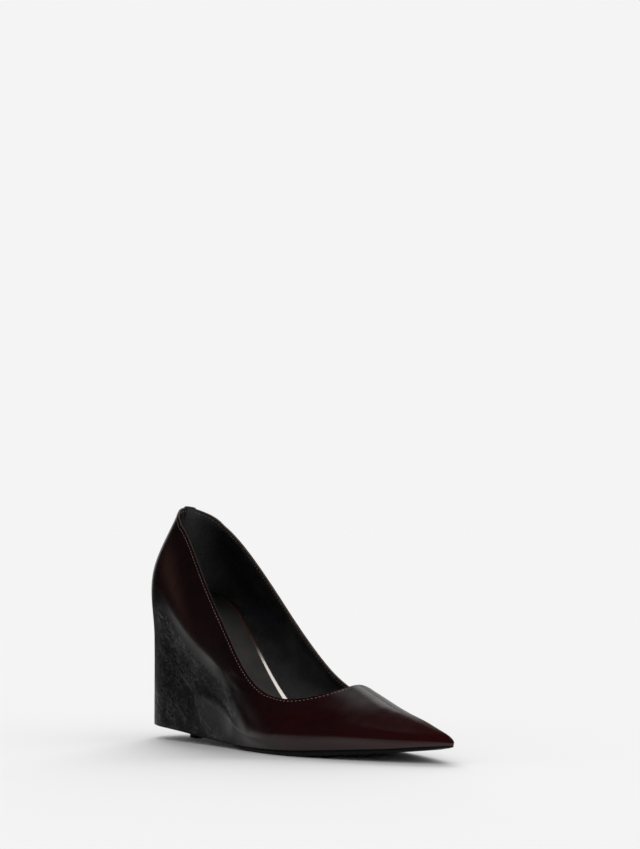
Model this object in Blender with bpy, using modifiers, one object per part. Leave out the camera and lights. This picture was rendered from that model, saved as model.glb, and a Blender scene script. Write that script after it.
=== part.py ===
"""A pointed pump on a high leather-covered wedge, the right shoe of a pair, in metres.

It stands on z = 0 with its toe along +X and its outer side towards -Y. The last is a run of sections
from the back of the heel to the toe tip, counted from the upright axis of the heel. A section has five
guide points a side: hem, tuck, widest, topline edge and crest, at a rise of 0, 1, 2, 3 and 4. At both
ends the sections turn like a fan about an upright axis, so that the heel is round and the toe ends in
a small round tip.
"""

import bmesh
import bpy
import numpy as np

# Thicknesses and clearances
WALL = 0.0016  # leather and lining of the upper
INSOLE = 0.0025  # board and sock
SOLE = 0.0030  # outsole at its full thickness, under the ball
GAP = 0.0003  # between pieces that meet

# Places along the run
HEEL_RADIUS = 0.028  # run for each radian of turn about the heel axis
BACK = -HEEL_RADIUS * np.pi / 2
TOE_START = 0.196  # where the sections start to turn towards the tip
TOE_AXIS = 0.2066
TIP = 2 * TOE_AXIS - TOE_START
THROAT = 0.1373  # front of the opening, on the crest
CORNER = 0.1010  # where the topline leaves the vamp and starts up the quarter

# The last: half is the widest half width, axis the middle line's y, and each _in a share of half
SECTION_COLUMNS = (
    "run", "half", "axis", "hem_in", "hem_z", "tuck_in", "tuck_z", "wide_z", "edge_in", "edge_z", "crest_z"
)
SECTIONS = (
    (BACK, 0.0289, 0.0, 0.920, 0.0083, 0.965, 0.0600, 0.0960, 0.53, 0.1374, 0.1720),
    (BACK / 2, 0.0293, 0.0, 0.920, 0.0084, 0.950, 0.0600, 0.0980, 0.51, 0.1346, 0.1695),
    (0.0000, 0.0302, 0.0, 0.930, 0.0074, 0.930, 0.0560, 0.0930, 0.57, 0.1268, 0.1630),
    (0.0300, 0.0313, -0.0013, 0.943, 0.0053, 0.908, 0.0400, 0.0670, 0.78, 0.0988, 0.1380),
    (0.0600, 0.0323, -0.0028, 0.960, 0.0031, 0.922, 0.0240, 0.0455, 0.90, 0.0665, 0.1080),
    (0.0900, 0.0360, -0.0036, 0.966, 0.0027, 0.986, 0.0080, 0.0180, 0.93, 0.0396, 0.0760),
    (0.1150, 0.0396, -0.0020, 0.965, 0.0031, 0.985, 0.0065, 0.0135, 0.80, 0.0302, 0.0510),
    (0.1400, 0.0378, 0.0006, 0.958, 0.0045, 0.990, 0.0085, 0.0152, 0.61, 0.0280, 0.0386),
    (0.1650, 0.0280, 0.0020, 0.953, 0.0062, 0.990, 0.0105, 0.0151, 0.56, 0.0232, 0.0284),
    (0.1850, 0.0180, 0.0030, 0.950, 0.0079, 0.990, 0.0113, 0.0143, 0.55, 0.0193, 0.0228),
    (TOE_START, 0.0111, 0.0038, 0.945, 0.0091, 0.990, 0.0117, 0.0135, 0.55, 0.0168, 0.0191),
    (TOE_AXIS, 0.0046, 0.0046, 0.940, 0.0100, 0.990, 0.0115, 0.0126, 0.57, 0.0147, 0.0161),
    (TIP, 0.0027, 0.0047, 0.930, 0.0104, 0.985, 0.0113, 0.0120, 0.62, 0.0132, 0.0139),
)

# The footbed's top: run, height
BED = (
    (BACK, 0.0860),
    (0.0000, 0.0800),
    (0.0200, 0.0685),
    (0.0400, 0.0520),
    (0.0600, 0.0350),
    (0.0800, 0.0205),
    (0.1000, 0.0115),
    (0.1200, 0.0078),
    (0.1400, 0.0078),
    (0.1650, 0.0092),
    (0.1850, 0.0108),
    (TIP, 0.0128),
)

# Insole, outsole, wedge core, heel tip and back tab
INSOLE_FRONT = TIP - 0.0095
SOLE_BACK = 0.072  # run of the outsole's rear end
SOLE_FEATHER = 0.016  # run over which that end thickens to the tread
SOLE_END_THICK = 0.0012
SOLE_ROUND = 0.0024  # how far the tread is set in from the sole's edge
SOLE_LEAST = 0.4  # share of the sole's half width that the tread keeps at the tip
SOLE_EDGE = 0.43  # upright share of the sole's edge
SOLE_THIN = ((0.130, SOLE), (0.167, 0.0024), (0.190, 0.0019), (TOE_AXIS, 0.0012), (TIP, 0.0009))
SOLE_FRONT = TIP - 0.0030
CORE_FRONT = 0.120
CORE_LEVELS = 7
CORE_RECESS = 0.0015  # the core's underside above the hem, behind the outsole
CORE_RECESS_END = 0.055  # run where the underside starts down to the outsole
TIP_RADIUS = 0.0042
TIP_BEVEL = 0.0006
TIP_PLACE = (-0.0010, -0.0010)
TAB_RUN = 0.0065  # half the tab's width
TAB_OUTSIDE = 0.22  # how far down the wall it reaches, in rise
TAB_INSIDE = 0.16
TAB_THICK = 0.0005
TAB_SHIFT = 0.0045  # middle of the tab from the back line, towards the inner side
TAB_RISE = 0.0005  # inside of the fold above the topline
TAB_FOLD = 0.35  # below 1, the fold is squarer than an ellipse

# How finely the pieces are divided
INSOLE_COLUMNS = 40
CORE_COLUMNS = 26
SOLE_COLUMNS = 34
CREST_COLUMNS = 16
TIP_COLUMNS = 5
THROAT_COLUMNS = 7
QUARTER_COLUMNS = 20
UPPER_ROWS = 16
LEVEL_RISE = 2.4  # rows up to here keep one rise all round, and those above spread to the top edge
LEVEL_SHARE = 0.6
FAN_BOW = 1.3  # above 1, columns leave the hem upright before they lean to the topline
THROAT_POWER = 0.87  # below 1, the throat is squarer than an ellipse

LEATHER = ("oxblood_leather", (0.030, 0.006, 0.006), 0.30)
SOCK = ("sock_leather", (0.055, 0.052, 0.045), 0.45)
CORE = ("wedge_core", (0.020, 0.018, 0.017), 0.60)
RUBBER = ("sole_black", (0.008, 0.008, 0.009), 0.40)
TAB = ("tab_leather", (0.010, 0.008, 0.008), 0.35)


def spline(knots, values):
    """A smooth curve through the values, level at both ends."""
    knots = np.asarray(knots)
    values = np.asarray(values)
    step = np.diff(knots)
    slope = np.diff(values) / step
    n = len(knots)
    left = np.zeros((n, n))
    right = np.zeros(n)
    left[0, :2] = 2 * step[0], step[0]
    left[-1, -2:] = step[-1], 2 * step[-1]
    right[0] = 6 * slope[0]
    right[-1] = -6 * slope[-1]
    for i in range(1, n - 1):
        left[i, i - 1 : i + 2] = step[i - 1], 2 * (step[i - 1] + step[i]), step[i]
        right[i] = 6 * (slope[i] - slope[i - 1])
    bend = np.linalg.solve(left, right)

    def at(x):
        x = np.clip(x, knots[0], knots[-1])
        i = np.clip(np.searchsorted(knots, x, side="right") - 1, 0, n - 2)
        ahead = knots[i + 1] - x
        behind = x - knots[i]
        curve = (bend[i] * ahead**3 + bend[i + 1] * behind**3) / (6 * step[i])
        start = (values[i] / step[i] - bend[i] * step[i] / 6) * ahead
        end = (values[i + 1] / step[i] - bend[i + 1] * step[i] / 6) * behind
        return curve + start + end

    return at


FORM = {name: spline(*np.array(SECTIONS)[:, [0, k]].T) for k, name in enumerate(SECTION_COLUMNS)}
BED_TOP = spline(*np.array(BED).T)


def section(run, rise):
    """Distance from the middle line and height, on a curve through the section's guide points."""
    half = FORM["half"](run)
    shares = (FORM["hem_in"](run), FORM["tuck_in"](run), 1.0, FORM["edge_in"](run), 0.0)
    out = np.stack([half * share for share in shares], -1)
    up = np.stack([FORM[name](run) for name in ("hem_z", "tuck_z", "wide_z", "edge_z", "crest_z")], -1)
    guide = np.stack([out, up], -1)
    before = 2 * guide[..., :1, :] - guide[..., 1:2, :]
    after = guide[..., 3:4, :] * np.array([-1, 1])
    guide = np.concatenate([before, guide, after], -2)
    chord = np.sqrt(np.maximum(np.linalg.norm(np.diff(guide, axis=-2), axis=-1), 1e-5))
    span = np.clip(np.floor(rise).astype(int), 0, 3)
    u = (rise - span)[..., None]
    p = [np.take_along_axis(guide, (span + k)[..., None, None], -2)[..., 0, :] for k in range(4)]
    c = [np.take_along_axis(chord, (span + k)[..., None], -1) for k in range(3)]
    middle = p[2] - p[1]
    leave = middle + c[1] * ((p[1] - p[0]) / c[0] - (p[2] - p[0]) / (c[0] + c[1]))
    arrive = middle + c[1] * ((p[3] - p[2]) / c[2] - (p[3] - p[1]) / (c[1] + c[2]))
    point = (2 * u**3 - 3 * u**2 + 1) * p[1] + (u**3 - 2 * u**2 + u) * leave
    point = point + (3 * u**2 - 2 * u**3) * p[2] + (u**3 - u**2) * arrive
    return point[..., 0], point[..., 1]


def place(run, out, height, side):
    """A point of the section at this run: side is -1 on the outer half of the shoe, 1 on the inner half."""
    heel_turn = np.clip(-run, 0, None) / HEEL_RADIUS
    toe = np.maximum((run - TOE_START) / (TIP - TOE_START), 0)
    toe_turn = np.pi / 2 * toe**2
    station = np.clip(run, 0, TOE_START) + (TOE_AXIS - TOE_START) * (1 - (1 - toe) ** 2)
    x = station + out * (np.sin(toe_turn) - np.sin(heel_turn))
    y = FORM["axis"](run) + side * out * np.cos(heel_turn + toe_turn)
    return np.stack(np.broadcast_arrays(x, y, height), -1)


def skin(run, rise, side, depth=0.0):
    """Points of the leather's outer face, or this deep under it."""
    run, rise = np.broadcast_arrays(np.asarray(run, float), np.asarray(rise, float))

    def outer(r, t):
        return place(r, *section(r, np.clip(t, 0, 4)), side)

    along = outer(run + 1e-4, rise) - outer(run - 1e-4, rise)
    upward = outer(run, rise + 1e-3) - outer(run, rise - 1e-3)
    normal = -side * np.cross(along, upward)
    normal = normal / np.linalg.norm(normal, axis=-1, keepdims=True)
    return outer(run, rise) - normal * depth


def inside(run, heights, side):
    """Points that clear the upper's inner face by the gap: one row for each run, one column a height."""
    rise = np.linspace(0, 3, 91)
    rows = []
    for r, levels in zip(run, heights):
        wall = skin(np.full_like(rise, r), rise, side, WALL + GAP)
        x = np.interp(levels, wall[:, 2], wall[:, 0])
        y = np.interp(levels, wall[:, 2], wall[:, 1])
        rows.append(np.stack([x, y, levels], -1))
    return np.array(rows)


def make_object(name, points, faces, look, collection, root):
    """A mesh object from points and faces, with doubled points merged, in its own material."""
    mesh = bpy.data.meshes.new(name)
    mesh.from_pydata(points.tolist(), [], faces)
    form = bmesh.new()
    form.from_mesh(mesh)
    bmesh.ops.remove_doubles(form, verts=form.verts[:], dist=1e-6)
    form.to_mesh(mesh)
    form.free()
    mesh.shade_smooth()
    mesh.set_sharp_from_angle(angle=np.radians(40))
    obj = bpy.data.objects.new(name, mesh)
    collection.objects.link(obj)
    obj.parent = root
    dress(obj, look)
    return obj


def dress(obj, look):
    name, color, roughness = look
    material = bpy.data.materials.new(name)
    material.use_nodes = True
    shader = material.node_tree.nodes["Principled BSDF"]
    shader.inputs["Base Color"].default_value = (*color, 1)
    shader.inputs["Roughness"].default_value = roughness
    shader.inputs["Metallic"].default_value = 0
    obj.data.materials.append(material)


def thicken(obj, thickness, offset):
    wall = obj.modifiers.new("wall", "SOLIDIFY")
    wall.thickness = thickness
    wall.offset = offset
    wall.use_even_offset = True
    wall.use_quality_normals = True


def grid_faces(columns, rows, flip, start=0):
    """Quads over a grid of points that is stored column by column."""
    faces = []
    for i in range(columns - 1):
        for j in range(rows - 1):
            a = start + i * rows + j
            quad = [a, a + rows, a + rows + 1, a + 1]
            faces.append(quad[::-1] if flip else quad)
    return faces


def loft(name, outer_rows, inner_rows, look, collection, root, capped_back=True):
    """A closed body across the shoe, from matching rows of levels on its outer and inner side, heel to toe."""
    rings = np.concatenate([outer_rows, inner_rows[:, ::-1]], axis=1)
    count, size = rings.shape[:2]
    faces = []
    for i in range(count - 1):
        for j in range(size):
            k = (j + 1) % size
            faces.append([i * size + j, i * size + k, (i + 1) * size + k, (i + 1) * size + j])
    faces.append([(count - 1) * size + j for j in range(size)])
    if capped_back:
        faces.append([size - 1 - j for j in range(size)])
    obj = make_object(name, rings.reshape(-1, 3), faces, look, collection, root)
    form = bmesh.new()
    form.from_mesh(obj.data)
    bmesh.ops.recalc_face_normals(form, faces=form.faces[:])
    form.to_mesh(obj.data)
    form.free()
    return obj


def upper_columns():
    """Each column's run at the hem, and its run and rise at the top: on the crest, the throat or the topline."""
    tip = np.linspace(TIP, TOE_START, TIP_COLUMNS)[:-1]
    crest = TOE_START + (THROAT - TOE_START) * np.linspace(0, 1, CREST_COLUMNS)
    turn = np.linspace(0, np.pi / 2, THROAT_COLUMNS + 1)[1:]
    throat_run = CORNER + (THROAT - CORNER) * np.cos(turn) ** THROAT_POWER
    throat_rise = 4 - np.sin(turn) ** THROAT_POWER
    quarter = np.linspace(CORNER, BACK, QUARTER_COLUMNS + 1)[1:]
    front = np.concatenate([tip, crest])
    rear = np.linspace(THROAT, BACK, THROAT_COLUMNS + QUARTER_COLUMNS + 1)[1:]
    hem_run = np.concatenate([front, rear])
    top_run = np.concatenate([front, throat_run, quarter])
    top_rise = np.concatenate([np.full(len(front), 4.0), throat_rise, np.full(len(quarter), 3.0)])
    return hem_run, top_run, top_rise


def build_upper(collection, root):
    """Vamp, quarters and the skirt over the wedge: one wall, open at the collar and underneath."""
    hem_run, top_run, top_rise = upper_columns()
    share = np.linspace(0, 1, UPPER_ROWS)
    run = hem_run[:, None] + (top_run - hem_run)[:, None] * share**FAN_BOW
    level = np.minimum(share / LEVEL_SHARE, 1) * LEVEL_RISE
    spread = np.clip((share - LEVEL_SHARE) / (1 - LEVEL_SHARE), 0, 1)
    rise = level + (top_rise[:, None] - LEVEL_RISE) * spread
    halves = [skin(run, rise, side).reshape(-1, 3) for side in (-1, 1)]
    columns = len(hem_run)
    faces = grid_faces(columns, UPPER_ROWS, True)
    faces += grid_faces(columns, UPPER_ROWS, False, columns * UPPER_ROWS)
    upper = make_object("upper", np.concatenate(halves), faces, LEATHER, collection, root)
    thicken(upper, WALL, -1)
    return upper


def build_insole(collection, root):
    """The footbed: a board that follows the seat, the arch and the tread, wall to wall."""
    run = np.linspace(BACK, INSOLE_FRONT, INSOLE_COLUMNS)
    top = BED_TOP(run)
    heights = np.stack([top - INSOLE, top], -1)
    rows = [inside(run, heights, side) for side in (-1, 1)]
    loft("insole", *rows, SOCK, collection, root, capped_back=False)


def build_wedge(collection, root):
    """The core in the leather skirt, from the footbed down to just above the hem."""
    run = np.linspace(BACK, CORE_FRONT, CORE_COLUMNS)
    top = BED_TOP(run) - INSOLE - GAP
    recess = np.interp(run, [CORE_RECESS_END, SOLE_BACK], [CORE_RECESS, GAP])
    bottom = FORM["hem_z"](run) + recess
    share = np.linspace(0, 1, CORE_LEVELS)
    heights = bottom[:, None] + (top - bottom)[:, None] * share
    rows = [inside(run, heights, side) for side in (-1, 1)]
    loft("wedge_heel", *rows, CORE, collection, root, capped_back=False)


def build_outsole(collection, root):
    """The thin forepart sole: its edge is flush with the hem, its tread is set in and flat at the ball."""
    run = np.linspace(SOLE_BACK, SOLE_FRONT, SOLE_COLUMNS)
    top = FORM["hem_z"](run) - GAP
    feather = np.clip((run - SOLE_BACK) / SOLE_FEATHER, 0, 1)
    thick = SOLE_END_THICK + (SOLE - SOLE_END_THICK) * np.sin(feather * np.pi / 2)
    thick = np.minimum(thick, np.interp(run, *np.array(SOLE_THIN).T))
    tread = np.maximum(top - thick, 0)
    edge = top - (top - tread) * SOLE_EDGE
    edge_out = FORM["half"](run) * FORM["hem_in"](run)
    tread_out = np.maximum(edge_out - SOLE_ROUND, edge_out * SOLE_LEAST)
    rows = []
    for side in (-1, 1):
        levels = [(tread_out, tread), (edge_out, edge), (edge_out, top)]
        rows.append(np.stack([place(run, out, height, side) for out, height in levels], axis=1))
    loft("outsole", *rows, RUBBER, collection, root)


def build_heel_tip(collection, root):
    """The round top piece that stands on the floor under the wedge."""
    top = float(FORM["hem_z"](TIP_RADIUS)) + CORE_RECESS - GAP
    bpy.ops.mesh.primitive_cylinder_add(
        vertices=32, radius=TIP_RADIUS, depth=top, location=(*TIP_PLACE, top / 2)
    )
    obj = bpy.context.object
    obj.name = obj.data.name = "heel_tip"
    bevel = obj.modifiers.new("rounded rim", "BEVEL")
    bevel.width = TIP_BEVEL
    bevel.segments = 2
    obj.data.shade_smooth()
    obj.data.set_sharp_from_angle(angle=np.radians(40))
    for old in obj.users_collection:
        old.objects.unlink(obj)
    collection.objects.link(obj)
    obj.parent = root
    dress(obj, RUBBER)


def build_back_tab(collection, root):
    """A strip folded over the topline at the back seam, clear of the wall by the gap all round."""
    across = TAB_SHIFT + np.linspace(-TAB_RUN, TAB_RUN, 8)
    columns = []
    for reach in across:
        run = BACK + abs(reach)
        side = -1 if reach < 0 else 1
        outside = skin(run, np.linspace(3 - TAB_OUTSIDE, 3, 4), side, -GAP)
        lining = skin(run, np.linspace(3, 3 - TAB_INSIDE, 3), side, WALL + GAP)
        middle = (outside[-1] + lining[0]) / 2
        outward = outside[-1] - middle
        upward = skin(run, 3.0, side) - skin(run, 2.98, side)
        upward = upward / np.linalg.norm(upward) * TAB_RISE
        angle = np.linspace(0, np.pi, 9)[1:-1, None]
        level = np.sign(np.cos(angle)) * np.abs(np.cos(angle)) ** TAB_FOLD
        fold = middle + outward * level + upward * np.sin(angle) ** TAB_FOLD
        columns.append(np.concatenate([outside, fold, lining]))
    columns = np.array(columns)
    faces = grid_faces(columns.shape[0], columns.shape[1], False)
    tab = make_object("back_tab", columns.reshape(-1, 3), faces, TAB, collection, root)
    thicken(tab, TAB_THICK, -1)


def main():
    for old in list(bpy.data.objects):
        bpy.data.objects.remove(old)
    collection = bpy.data.collections.new("wedge_pump")
    bpy.context.scene.collection.children.link(collection)
    root = bpy.data.objects.new("shoe", None)
    collection.objects.link(root)
    upper = build_upper(collection, root)
    build_insole(collection, root)
    build_wedge(collection, root)
    build_outsole(collection, root)
    build_heel_tip(collection, root)
    build_back_tab(collection, root)
    corners = np.array([vertex.co for vertex in upper.data.vertices])
    middle = (corners.min(axis=0) + corners.max(axis=0)) / 2
    root.location = (-middle[0], -middle[1], 0)


main()
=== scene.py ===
# Pointed wedge pump: a lasted leather upper over a high wedge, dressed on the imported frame
import math

import bmesh
import bpy
import numpy as np
from mathutils import Matrix, Vector


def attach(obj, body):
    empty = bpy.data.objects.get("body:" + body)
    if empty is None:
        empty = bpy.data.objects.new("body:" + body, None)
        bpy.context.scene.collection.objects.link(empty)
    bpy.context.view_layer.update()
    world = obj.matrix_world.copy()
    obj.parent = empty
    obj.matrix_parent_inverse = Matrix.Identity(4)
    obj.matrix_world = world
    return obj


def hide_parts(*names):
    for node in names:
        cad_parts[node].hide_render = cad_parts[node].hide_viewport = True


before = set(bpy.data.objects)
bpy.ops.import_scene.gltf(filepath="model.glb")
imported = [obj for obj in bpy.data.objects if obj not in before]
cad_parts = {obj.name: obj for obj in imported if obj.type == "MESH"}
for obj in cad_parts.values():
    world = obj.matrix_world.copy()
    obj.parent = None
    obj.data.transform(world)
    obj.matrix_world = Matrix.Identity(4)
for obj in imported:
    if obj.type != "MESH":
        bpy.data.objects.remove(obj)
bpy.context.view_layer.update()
print("frame loaded:", ", ".join(sorted(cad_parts)))

# The last, in its own frame: x from the heel's axis, z from the floor. shift takes it to the frame's origin.
heelRadius = 0.028
backRun = -heelRadius * math.pi / 2
toeStart = 0.196
toeAxis = 0.2066
tipRun = 2 * toeAxis - toeStart

last = {
    "shift": (0.08996, -0.00113, 0.0),
    "wall": 0.0016,
    "gap": 0.0003,
    "runStep": 1e-4, "riseStep": 1e-3, "fineStep": 1e-5,   # small steps for slopes
    "insideSteps": 121, "flat": 1e-7,
    "columns": ("run", "half", "axis", "hemIn", "hemZ", "tuckIn", "tuckZ", "wideZ", "edgeIn", "edgeZ",
                "crestZ"),
    "sections": (
        (backRun, 0.0289, 0.0, 0.920, 0.0083, 0.965, 0.0600, 0.0960, 0.53, 0.1374, 0.1720),
        (backRun / 2, 0.0293, 0.0, 0.920, 0.0084, 0.950, 0.0600, 0.0980, 0.51, 0.1346, 0.1695),
        (0.0000, 0.0302, 0.0, 0.930, 0.0074, 0.930, 0.0560, 0.0930, 0.57, 0.1268, 0.1630),
        (0.0300, 0.0313, -0.0013, 0.943, 0.0053, 0.908, 0.0400, 0.0670, 0.78, 0.0988, 0.1380),
        (0.0600, 0.0323, -0.0028, 0.960, 0.0031, 0.922, 0.0240, 0.0455, 0.90, 0.0665, 0.1080),
        (0.0900, 0.0360, -0.0036, 0.966, 0.0027, 0.986, 0.0080, 0.0180, 0.93, 0.0396, 0.0760),
        (0.1150, 0.0396, -0.0020, 0.965, 0.0031, 0.985, 0.0065, 0.0135, 0.80, 0.0302, 0.0510),
        (0.1400, 0.0378, 0.0006, 0.958, 0.0045, 0.990, 0.0085, 0.0152, 0.61, 0.0280, 0.0386),
        (0.1650, 0.0280, 0.0020, 0.953, 0.0062, 0.990, 0.0105, 0.0151, 0.56, 0.0232, 0.0284),
        (0.1850, 0.0180, 0.0030, 0.950, 0.0079, 0.990, 0.0113, 0.0143, 0.55, 0.0193, 0.0228),
        (toeStart, 0.0111, 0.0038, 0.945, 0.0091, 0.990, 0.0117, 0.0135, 0.55, 0.0168, 0.0191),
        (toeAxis, 0.0046, 0.0046, 0.940, 0.0100, 0.990, 0.0115, 0.0126, 0.57, 0.0147, 0.0161),
        (tipRun, 0.0027, 0.0047, 0.930, 0.0104, 0.985, 0.0113, 0.0120, 0.62, 0.0132, 0.0139),
    ),
    "bed": (
        (backRun, 0.0860), (0.0, 0.0800), (0.02, 0.0685), (0.04, 0.0520), (0.06, 0.0350), (0.08, 0.0205),
        (0.10, 0.0115), (0.12, 0.0078), (0.14, 0.0078), (0.165, 0.0092), (0.185, 0.0108), (tipRun, 0.0128),
    ),
}


# A smooth curve through points: cubic pieces whose slope and bend agree where they meet, level at both ends.
def spline(knots, values):
    step = np.diff(knots)
    slope = np.diff(values) / step
    count = len(knots)
    left = np.zeros((count, count))
    right = np.zeros(count)
    left[0, :2] = 2 * step[0], step[0]
    left[-1, -2:] = step[-1], 2 * step[-1]
    right[0] = 6 * slope[0]
    right[-1] = -6 * slope[-1]
    for i in range(1, count - 1):
        left[i, i - 1:i + 2] = step[i - 1], 2 * (step[i - 1] + step[i]), step[i]
        right[i] = 6 * (slope[i] - slope[i - 1])
    bend = np.linalg.solve(left, right)

    def at(x):
        x = np.clip(x, knots[0], knots[-1])
        i = np.clip(np.searchsorted(knots, x, side="right") - 1, 0, count - 2)
        ahead = knots[i + 1] - x
        behind = x - knots[i]
        curve = (bend[i] * ahead**3 + bend[i + 1] * behind**3) / (6 * step[i])
        start = (values[i] / step[i] - bend[i] * step[i] / 6) * ahead
        end = (values[i + 1] / step[i] - bend[i + 1] * step[i] / 6) * behind
        return curve + start + end

    return at


def through(points):
    return spline(*np.array(points, float).T)


form = {name: spline(*np.array(last["sections"])[:, [0, k]].T) for k, name in enumerate(last["columns"])}
bedTop = through(last["bed"])


# One section of the last: rise 0 to 4 goes by hem, tuck, widest point, topline edge and crest,
# on a curve through those five points whose tangents suit the uneven distances between them.
def section(run, rise):
    half = form["half"](run)
    shares = (form["hemIn"](run), form["tuckIn"](run), 1.0, form["edgeIn"](run), 0.0)
    out = np.stack([half * share for share in shares], -1)
    up = np.stack([form[name](run) for name in ("hemZ", "tuckZ", "wideZ", "edgeZ", "crestZ")], -1)
    guide = np.stack([out, up], -1)
    before = 2 * guide[..., :1, :] - guide[..., 1:2, :]
    after = guide[..., 3:4, :] * np.array([-1, 1])
    guide = np.concatenate([before, guide, after], -2)
    chord = np.sqrt(np.maximum(np.linalg.norm(np.diff(guide, axis=-2), axis=-1), 1e-5))
    span = np.clip(np.floor(rise).astype(int), 0, 3)
    u = (rise - span)[..., None]
    p = [np.take_along_axis(guide, (span + k)[..., None, None], -2)[..., 0, :] for k in range(4)]
    c = [np.take_along_axis(chord, (span + k)[..., None], -1) for k in range(3)]
    middle = p[2] - p[1]
    leave = middle + c[1] * ((p[1] - p[0]) / c[0] - (p[2] - p[0]) / (c[0] + c[1]))
    arrive = middle + c[1] * ((p[3] - p[2]) / c[2] - (p[3] - p[1]) / (c[1] + c[2]))
    point = (2 * u**3 - 3 * u**2 + 1) * p[1] + (u**3 - 2 * u**2 + u) * leave
    point = point + (3 * u**2 - 2 * u**3) * p[2] + (u**3 - u**2) * arrive
    return point[..., 0], point[..., 1]


# A section point in the shoe's frame: sections stand across the run, and turn like a fan at heel and toe.
def place(run, out, height, side):
    heelTurn = np.clip(-run, 0, None) / heelRadius
    toe = np.maximum((run - toeStart) / (tipRun - toeStart), 0)
    toeTurn = math.pi / 2 * toe**2
    station = np.clip(run, 0, toeStart) + (toeAxis - toeStart) * (1 - (1 - toe) ** 2)
    x = station + out * (np.sin(toeTurn) - np.sin(heelTurn))
    y = form["axis"](run) + side * out * np.cos(heelTurn + toeTurn)
    return np.stack(np.broadcast_arrays(x, y, height), -1)


# Vectors over their own lengths.
def unit(vectors):
    return vectors / np.linalg.norm(vectors, axis=-1, keepdims=True)


# The outer face and its outward normal, from small steps along the run and up the section.
def faceAndNormal(run, rise, side):
    run, rise = np.broadcast_arrays(np.asarray(run, float), np.asarray(rise, float))

    def outer(r, t):
        return place(r, *section(r, np.clip(t, 0, 4)), side)

    along = outer(run + last["runStep"], rise) - outer(run - last["runStep"], rise)
    upward = outer(run, rise + last["riseStep"]) - outer(run, rise - last["riseStep"])
    normal = -side * np.cross(along, upward)
    return outer(run, rise), unit(normal)


# A point under the outer face, in along its normal by the depth.
def skin(run, rise, side, depth=0.0):
    point, normal = faceAndNormal(run, rise, side)
    return point - normal * np.asarray(depth)[..., None]


# The lining's face at given heights: the wall's inner curve is read off at each height.
def inside(run, heights, side):
    rises = np.linspace(0, 3, last["insideSteps"])
    curve = skin(run[:, None], rises, side, last["wall"] + last["gap"])
    points = np.empty((*heights.shape, 3))
    for i, row in enumerate(curve):
        points[i, :, 0] = np.interp(heights[i], row[:, 2], row[:, 0])
        points[i, :, 1] = np.interp(heights[i], row[:, 2], row[:, 1])
    points[..., 2] = heights
    return points


# A step from 0 to 1, level at both ends: three squares less two cubes of the way.
def smooth(x, low, high):
    t = np.clip((x - low) / (high - low), 0, 1)
    return t * t * (3 - 2 * t)


# Up over the first stretch of a span and down over the second.
def between(x, span):
    return smooth(x, *span[0]) * (1 - smooth(x, *span[1]))


# One in the middle, falling off by the exponential of minus the square.
def bell(x):
    return np.exp(-(x**2))


# Quads of a grid of columns by rows, wrapped round in either direction where asked.
def gridQuads(columns, rows, wrapColumns=False, wrapRows=False):
    i = np.arange(columns if wrapColumns else columns - 1)[:, None]
    j = np.arange(rows if wrapRows else rows - 1)[None, :]
    nextI = (i + 1) % columns
    nextJ = (j + 1) % rows
    corners = (i * rows + j, nextI * rows + j, nextI * rows + nextJ, i * rows + nextJ)
    return np.stack(np.broadcast_arrays(*corners), -1).reshape(-1, 4)


def addObject(name, data):
    thing = bpy.data.objects.new(name, data)
    bpy.context.scene.collection.objects.link(thing)
    return thing


def thicken(piece, thick):
    wall = piece.modifiers.new("wall", "SOLIDIFY")
    wall.thickness = thick
    wall.offset = -1
    return wall


# A mesh object from points and quads in the last's frame: doubles merged, flat quads dropped, faces turned
# outwards where asked, smooth shaded.
def makePiece(name, points, faces, materials, kinds=None, attributes=None, merge=2e-6, turn=False):
    points = np.asarray(points, float).reshape(-1, 3) - np.array(last["shift"])
    mesh = bpy.data.meshes.new(name)
    mesh.from_pydata(points.tolist(), [], [list(map(int, f)) for f in faces])
    for key, values in (attributes or {}).items():
        mesh.attributes.new(key, "FLOAT", "POINT").data.foreach_set("value", np.asarray(values, np.float32))
    if kinds is not None:
        mesh.polygons.foreach_set("material_index", np.asarray(kinds, np.int32))
    shape = bmesh.new()
    shape.from_mesh(mesh)
    bmesh.ops.remove_doubles(shape, verts=shape.verts, dist=merge)
    bmesh.ops.dissolve_degenerate(shape, edges=shape.edges, dist=last["flat"])
    if turn:
        bmesh.ops.recalc_face_normals(shape, faces=shape.faces)
    shape.to_mesh(mesh)
    shape.free()
    mesh.validate()
    mesh.shade_smooth()
    for material in materials:
        mesh.materials.append(material)
    piece = addObject(name, mesh)
    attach(piece, "root")
    print("piece", name, len(mesh.polygons), "faces")
    return piece


# Materials: a wire is one output socket, and sums, differences and products of wires add Math nodes
class Wire:
    def __init__(self, look, socket):
        self.look = look
        self.socket = socket

    def math(self, operation, *values):
        return self.look.add("Math", {"operation": operation}, dict(enumerate(values)))

    def __add__(self, other):
        return self.math("ADD", self, other)

    def __sub__(self, other):
        return self.math("SUBTRACT", self, other)

    def __rsub__(self, other):
        return self.math("SUBTRACT", other, self)

    def __mul__(self, other):
        return self.math("MULTIPLY", self, other)

    def __abs__(self):
        return self.math("ABSOLUTE", self)

    __radd__ = __add__
    __rmul__ = __mul__


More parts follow.
